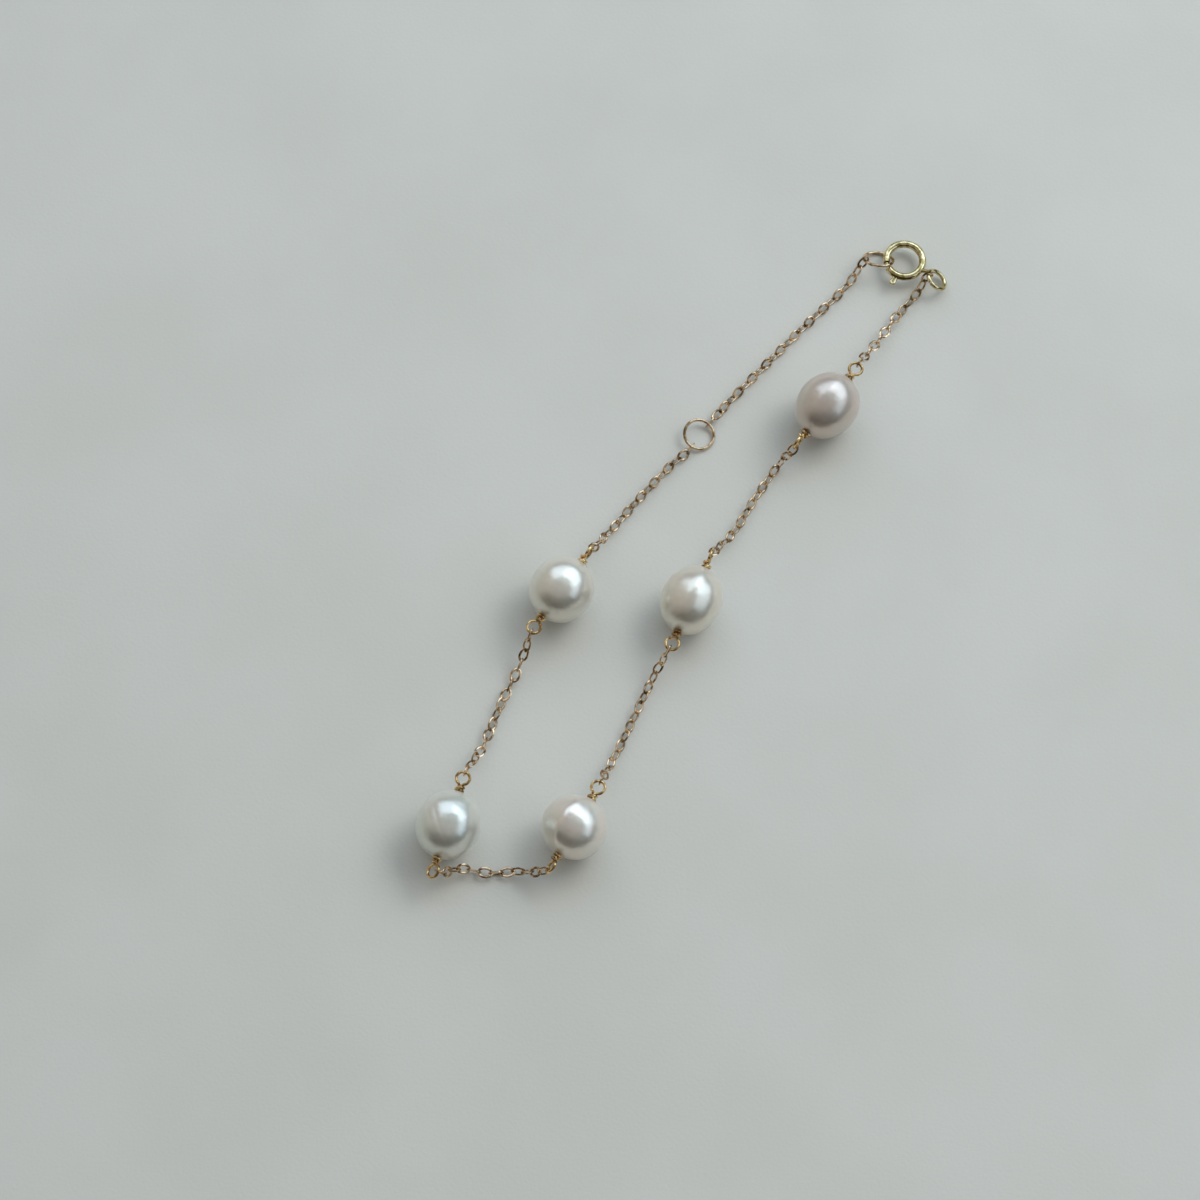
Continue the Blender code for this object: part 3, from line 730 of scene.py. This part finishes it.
end_lean = Vector((0, math.sin(END_RING_TILT), math.cos(END_RING_TILT)))
end_normal = Matrix.Rotation(END_RING_YAW, 3, "Z") @ end_lean
END_RING_FRAME = ring_frame(
    CLASP_FRAME @ Vector((END_RING_FROM_CLASP[0] * MM, END_RING_FROM_CLASP[1] * MM, 0)),
    end_normal, END_RING_YAW,
)
lean_along = math.radians(sum(EXTENSION_RING_HOOKS) / 2 - 90)
lean = Matrix.Rotation(EXTENSION_RING_TILT, 3, (math.cos(lean_along), math.sin(lean_along), 0))
EXTENSION_RING_FRAME = ring_frame(
    Vector((EXTENSION_RING_AT[0] * MM, EXTENSION_RING_AT[1] * MM, REST_HEIGHT)), lean @ UP, 0
)

chain_gold = gold("rose_chain_gold", (0.82, 0.60, 0.39), (0.24, 0.145, 0.07), 0.09, 0.15, 0.012)
for name, node, where, joint_at in (
    ("soldered_extension_ring", "extension_ring", EXTENSION_RING_FRAME, 140),
    ("soldered_end_ring", "end_ring", END_RING_FRAME, 70),
):
    line, radii = [], []
    for step in range(80):
        turn = math.tau * step / 80
        line.append(where @ Vector((RING_MEAN * math.cos(turn), RING_MEAN * math.sin(turn), 0)))
        off = math.degrees(math.remainder(turn - math.radians(joint_at), math.tau))
        radii.append(RING_WIRE / 2 * (0.97 + 0.03 * math.exp(-((off / 6) ** 2))))
    add_piece(name, swept(line, radii, 16, closed=True), chain_gold, "bracelet", node)

# Chains. Seven stretches of fine cable chain in pale rose gold: soldered oval links of slightly flattened
# wire, every second one turned a quarter, hooked through the eyes, the rings and the clasp's tag.

LINK_PITCH = 1.2 * MM
LINK_WIDTH = 1.2 * MM
LINK_WIRE = 0.18 * MM
LINK_FACE = 0.26 * MM
LINK_CORNER = 0.62
LINK_PRESS = 0.04 * MM
HOOK_CLEARANCE = 0.1 * MM
END_RING_HOOK = 205
TAG_HOOK = 178
CHAIN_ROUTES = (
    ((18.2, 32.2, 0.65), (11.8, 25.6, 0.65)),
    ((-1.9, 10.2, 0.68), (-5.4, 6.3, 0.68), (-8.6, 2.3, 1.0)),
    ((-18.8, -13.9, 1.0), (-20.9, -18.4, 0.68), (-22.6, -22.9, 0.95)),
    ((-24.8, -36.9, 1.3), (-21.9, -37.2, 0.65), (-18.6, -37.1, 0.9)),
    ((-8.5, -24.6, 0.95), (-6.2, -19.7, 0.7), (-3.9, -14.8, 1.1)),
    ((5.0, 2.0, 0.9), (7.5, 6.2, 0.7), (10.1, 10.0, 0.9)),
    ((21.4, 24.6, 1.7), (24.0, 28.5, 0.7), (26.4, 31.4, 0.8)),
)
# How each stretch has turned on itself: the share along it, and the roll in degrees that its links rest
# at there, 0 where every second one lies flat and 45 where both lean
CHAIN_RESTS = (
    ((0.10, 45), (0.90, 45)),
    ((0.14, 45), (0.90, 45)),
    ((0.12, 45), (0.22, 0), (0.38, 0), (0.48, 45), (0.60, 45), (0.68, 0), (0.80, 0), (0.88, 45)),
    ((0.20, 45), (0.42, 10), (0.58, 0), (0.80, 45)),
    ((0.14, 45), (0.88, 45)),
    ((0.14, 45), (0.88, 45)),
    ((0.20, 0), (0.55, 0), (0.70, 45), (0.90, 45)),
)


def hook_point(where, radius, angle, wire):
    """Where a chain hooks into a ring: the wire's centre, its direction there, and its thickness."""
    centre = where @ Vector((radius * math.cos(angle), radius * math.sin(angle), 0))
    along = where.to_3x3() @ Vector((-math.sin(angle), math.cos(angle), 0))
    return centre, along.normalized(), wire


def pearl_hook(index, sign):
    """The hook of a chain on the lower or upper eye of a pearl."""
    lower_roll, lower_hook, upper_roll, upper_hook = (math.radians(angle) for angle in EYES[index])
    roll, hook = (upper_roll, upper_hook) if sign > 0 else (lower_roll, lower_hook)
    where = pearl_frame(PEARLS[index]) @ eye_frame(PEARLS[index], sign, roll)
    return hook_point(where, EYE_MEAN, hook, EYE_WIRE)


def square_to(way, wire_along):
    """The part of a direction that is square to a wire, so that a link can hang on it."""
    return (way - wire_along * way.dot(wire_along)).normalized()


def roll_of(way, normal):
    """How far a link's normal is turned about its length, 0 lying flat."""
    level = square_to(UP, way)
    return math.atan2(normal.dot(way.cross(level)), normal.dot(level))


def point_at(line, distance):
    """The point and the direction at a distance along a line."""
    for start, end in zip(line, line[1:]):
        span = (end - start).length
        if distance <= span or end is line[-1]:
            return start + (end - start) * (distance / span), (end - start).normalized()
        distance -= span


def tilts_along(line, start_roll, rests, end_roll):
    """How far the chain has turned at each point of its line, by way of the rolls that it rests at."""
    knots = [(0.0, start_roll)]
    for share, rest in rests:
        knots.append((share, knots[-1][1] + math.remainder(math.radians(rest) - knots[-1][1], math.pi / 2)))
    knots.append((1.0, knots[-1][1] + math.remainder(end_roll - knots[-1][1], math.pi)))
    whole = sum((after - before).length for before, after in zip(line, line[1:]))
    tilts, gone = [], 0.0
    for index, point in enumerate(line):
        gone += (point - line[index - 1]).length / whole if index else 0
        for (low, first), (high, last) in zip(knots, knots[1:]):
            if gone <= high or high == 1.0:
                step = min(1.0, (gone - low) / (high - low))
                tilts.append(first + (last - first) * step * step * (3 - 2 * step))
                break
    return tilts


def cable_chain():
    """The node tree that hangs oval links along a line, every second one turned a quarter."""
    group = bpy.data.node_groups.new("cable_chain", "GeometryNodeTree")
    names = {"Line": group_input(group, "Line", "NodeSocketGeometry")}
    for name, kind, value in (
        ("Links", "NodeSocketInt", 12), ("Pitch", "NodeSocketFloat", LINK_PITCH),
        ("First Link", "NodeSocketFloat", 0.0), ("Link Width", "NodeSocketFloat", LINK_WIDTH),
        ("Link Wire", "NodeSocketFloat", LINK_WIRE), ("Flattening", "NodeSocketFloat", 0.8),
        ("Steps", "NodeSocketInt", 24), ("Corner Steps", "NodeSocketInt", 1),
        ("Finish", "NodeSocketMaterial", None),
    ):
        names[name] = group_input(group, name, kind, value)
    group.interface.new_socket("Chain", in_out="OUTPUT", socket_type="NodeSocketGeometry")
    given = add_node(group, "NodeGroupInput").outputs

    def calculated(kind, first, second):
        return add_node(group, "ShaderNodeMath", {0: first, 1: second}, operation=kind).outputs[0]

    radius = calculated("MULTIPLY", given["Link Wire"], 0.5)
    half_width = calculated("SUBTRACT", calculated("MULTIPLY", given["Link Width"], 0.5), radius)
    both_wires = calculated("ADD", given["Pitch"], given["Link Wire"])
    half_length = calculated("MULTIPLY", both_wires, 0.5)
    squeeze = add_node(group, "ShaderNodeCombineXYZ", {"X": 1.0, "Y": 1.0, "Z": given["Flattening"]})
    ring = add_node(group, "GeometryNodeCurvePrimitiveCircle", {"Resolution": given["Steps"], "Radius": 1.0})
    oval_size = add_node(group, "ShaderNodeCombineXYZ", {"X": half_length, "Y": half_width, "Z": 1.0})
    oval = add_node(
        group, "GeometryNodeTransform",
        {"Geometry": ring.outputs["Curve"], "Scale": oval_size.outputs["Vector"]},
    )
    square = add_node(
        group, "GeometryNodeCurvePrimitiveQuadrilateral",
        {"Width": given["Link Wire"], "Height": given["Link Wire"]},
    )
    corner = calculated("MULTIPLY", radius, LINK_CORNER)
    section = add_node(
        group, "GeometryNodeFilletCurve",
        {"Curve": square.outputs["Curve"], "Count": given["Corner Steps"], "Radius": corner},
        mode="POLY",
    )
    link = add_node(
        group, "GeometryNodeCurveToMesh",
        {"Curve": oval.outputs["Geometry"], "Profile Curve": section.outputs["Curve"]},
    )
    flat = add_node(
        group, "GeometryNodeTransform", {"Geometry": link.outputs["Mesh"], "Scale": squeeze.outputs["Vector"]}
    )
    spots = add_node(group, "GeometryNodePoints", {"Count": given["Links"]})
    index = add_node(group, "GeometryNodeInputIndex").outputs["Index"]
    length = calculated("ADD", given["First Link"], calculated("MULTIPLY", given["Pitch"], index))
    twist = add_node(group, "GeometryNodeInputCurveTilt").outputs["Tilt"]
    sample = add_node(
        group, "GeometryNodeSampleCurve",
        {"Curves": given["Line"], "Length": length, "Value": twist},
        mode="LENGTH",
    )
    placed = add_node(
        group, "GeometryNodeSetPosition",
        {"Geometry": spots.outputs["Points"], "Position": sample.outputs["Position"]},
    )
    roll = calculated("ADD", sample.outputs["Value"], calculated("MULTIPLY", index, math.pi / 2))
    rotation = add_node(
        group, "FunctionNodeAxesToRotation",
        {"Primary Axis": sample.outputs["Tangent"], "Secondary Axis": (0.0, 0.0, 1.0)},
        primary_axis="X", secondary_axis="Z",
    )
    turned = add_node(
        group, "FunctionNodeAxisAngleToRotation", {"Axis": (1.0, 0.0, 0.0), "Angle": roll}
    )
    rolled = add_node(
        group, "FunctionNodeRotateRotation",
        {"Rotation": rotation.outputs["Rotation"], "Rotate By": turned.outputs["Rotation"]},
        rotation_space="LOCAL",
    )
    hung = add_node(
        group, "GeometryNodeInstanceOnPoints",
        {
            "Points": placed.outputs["Geometry"], "Instance": flat.outputs["Geometry"],
            "Rotation": rolled.outputs["Rotation"],
        },
    )
    real = add_node(group, "GeometryNodeRealizeInstances", {"Geometry": hung.outputs["Instances"]})
    done = add_node(
        group, "GeometryNodeSetMaterial", {"Geometry": real.outputs["Geometry"], "Material": given["Finish"]}
    )
    add_node(group, "NodeGroupOutput", {"Chain": done.outputs["Geometry"]})
    return group, names


end_hook = hook_point(END_RING_FRAME, RING_MEAN, math.radians(END_RING_HOOK), RING_WIRE)
first_hook, second_hook = (
    hook_point(EXTENSION_RING_FRAME, RING_MEAN, math.radians(angle), RING_WIRE)
    for angle in EXTENSION_RING_HOOKS
)
tag_hook = hook_point(TAG_FRAME, TAG_MEAN, math.radians(TAG_HOOK), TAG_WIRE)
CHAIN_TREE = cable_chain()
for index, (hooks, via, rests) in enumerate(zip((
    (end_hook, first_hook), (second_hook, pearl_hook(0, 1)), (pearl_hook(0, -1), pearl_hook(1, 1)),
    (pearl_hook(1, -1), pearl_hook(2, -1)), (pearl_hook(2, 1), pearl_hook(3, -1)),
    (pearl_hook(3, 1), pearl_hook(4, -1)), (pearl_hook(4, 1), tag_hook),
), CHAIN_ROUTES, CHAIN_RESTS), start=1):
    (start, start_along, start_wire), (end, end_along, end_wire) = hooks
    points = [start] + [Vector(point) * MM for point in via] + [end]
    ways = [square_to(points[1] - start, start_along) * (points[1] - start).length]
    ways += [(after - before) / 2 for before, after in zip(points, points[2:])]
    ways.append(square_to(end - points[-2], end_along) * (end - points[-2]).length)
    line = along_ways(points, ways, 24)
    length = sum((after - before).length for before, after in zip(line, line[1:]))
    whole = length + LINK_PRESS + (start_wire + end_wire) / 2 + 2 * HOOK_CLEARANCE
    links = round(whole / LINK_PITCH)
    pitch = whole / links
    first = pitch / 2 - LINK_PRESS / 2 - start_wire / 2 - HOOK_CLEARANCE
    start_roll = roll_of(point_at(line, first)[1], start_along)
    end_roll = roll_of(point_at(line, first + (links - 1) * pitch)[1], end_along)
    tilts = tilts_along(line, start_roll, rests, end_roll - (links - 1) * math.pi / 2)
    mesh = grown(curve_of(line, tilts), CHAIN_TREE, {
        "Links": links, "Pitch": pitch, "First Link": first, "Link Width": LINK_WIDTH,
        "Link Wire": LINK_FACE, "Flattening": LINK_WIRE / LINK_FACE, "Finish": chain_gold,
    })
    dress_piece(f"cable_chain_{index}", mesh, chain_gold, "bracelet", f"chain_{index}")
